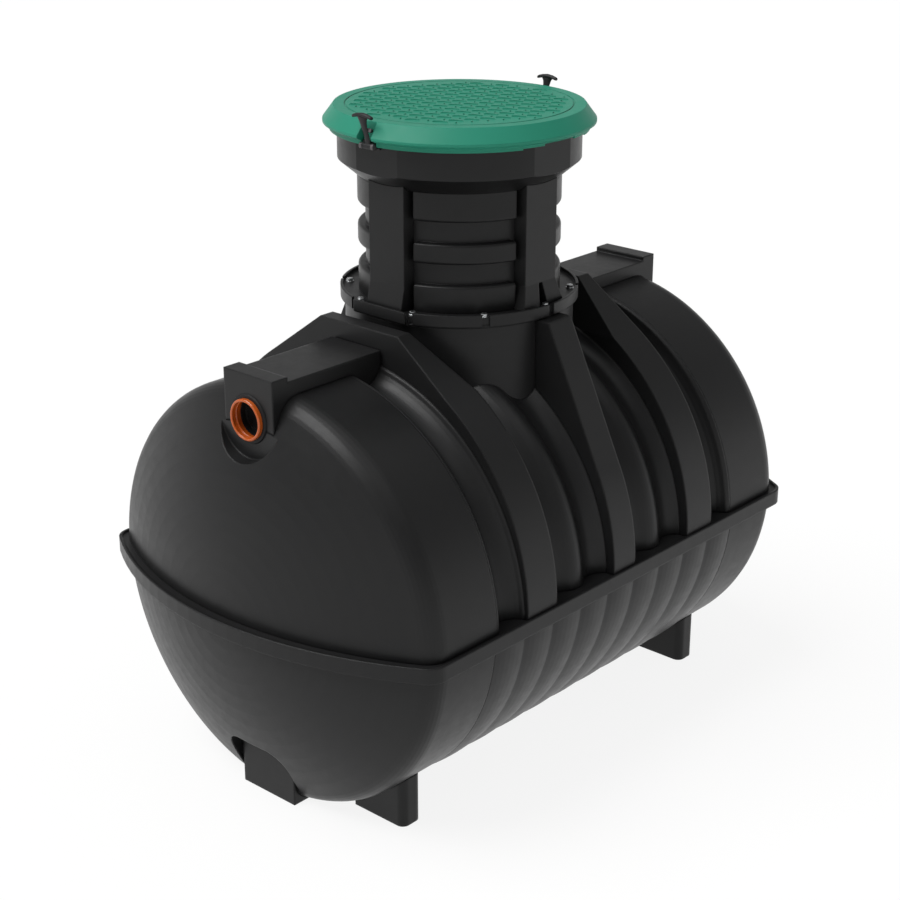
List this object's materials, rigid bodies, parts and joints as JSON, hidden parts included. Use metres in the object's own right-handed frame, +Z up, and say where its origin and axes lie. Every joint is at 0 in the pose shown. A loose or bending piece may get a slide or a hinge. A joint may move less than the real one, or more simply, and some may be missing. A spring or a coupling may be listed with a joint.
{
  "type": "septic tank",
  "caption": "Horizontal black plastic septic tank on feet, with grooved sides, dished ends, arched ribs, orange pipe sockets and a bolted service riser with a latched green lid.",
  "frame": {"origin": "on the ground under the middle of the riser, at the middle of the tank", "axes": "+X along the tank towards the outlet end, +Y to the side away from the viewer with the inlet at the left, +Z up"},
  "size_m": [2.062, 1.332, 1.968],
  "materials": {
    "black_shell": "satin moulded polyethylene",
    "black_riser": "satin moulded polyethylene",
    "green_lid": "satin moulded polyethylene with raised tread",
    "orange_pipe": "smooth drainage pipe plastic",
    "seal_rubber": "dull moulded rubber",
    "latch_rubber": "dull moulded rubber",
    "steel_pin": "bright zinc plated steel"
  },
  "bodies": {
    "tank": {"lower_barrel": "black_shell", "lower_end_inlet": "black_shell", "lower_end_outlet": "black_shell", "rim_flange": "black_shell", "upper_end_inlet": "black_shell", "upper_end_outlet": "black_shell", "upper_bay_inlet": "black_shell", "upper_bay_outlet": "black_shell", "groove_bays_inlet_front": "black_shell", "groove_bays_inlet_back": "black_shell", "groove_bays_outlet_front": "black_shell", "groove_bays_outlet_back": "black_shell", "rib_inlet": "black_shell", "rib_outlet": "black_shell", "rib_middle_front": "black_shell", "rib_middle_back": "black_shell", "hood_inlet": "black_shell", "hood_outlet": "black_shell", "socket_inlet": "orange_pipe", "socket_outlet": "orange_pipe", "seal_inlet": "seal_rubber", "seal_outlet": "seal_rubber", "foot_end_inlet": "black_shell", "foot_end_outlet": "black_shell", "foot_inlet_front": "black_shell", "foot_inlet_back": "black_shell", "foot_outlet_front": "black_shell", "foot_outlet_back": "black_shell", "neck": "black_shell", "neck_flange": "black_shell", "riser_gasket": "seal_rubber", "riser_flange": "black_riser", "riser_wall": "black_riser", "riser_pilasters": "black_riser", "riser_collar": "black_riser", "lid": "green_lid", "latch_bracket_inlet": "latch_rubber", "latch_bracket_outlet": "latch_rubber", "latch_pin_inlet": "steel_pin", "latch_pin_outlet": "steel_pin"},
    "inlet_latch": {"latch_inlet": "latch_rubber"},
    "outlet_latch": {"latch_outlet": "latch_rubber"}
  },
  "joints": [
    {"name": "inlet_latch_hinge", "type": "hinge", "parent": "tank", "child": "inlet_latch", "pos_m": [-0.385, 0, 1.871], "axis": [0, -1, 0], "range_deg": [0, 165]},
    {"name": "outlet_latch_hinge", "type": "hinge", "parent": "tank", "child": "outlet_latch", "pos_m": [0.385, 0, 1.871], "axis": [0, 1, 0], "range_deg": [0, 165]}
  ]
}
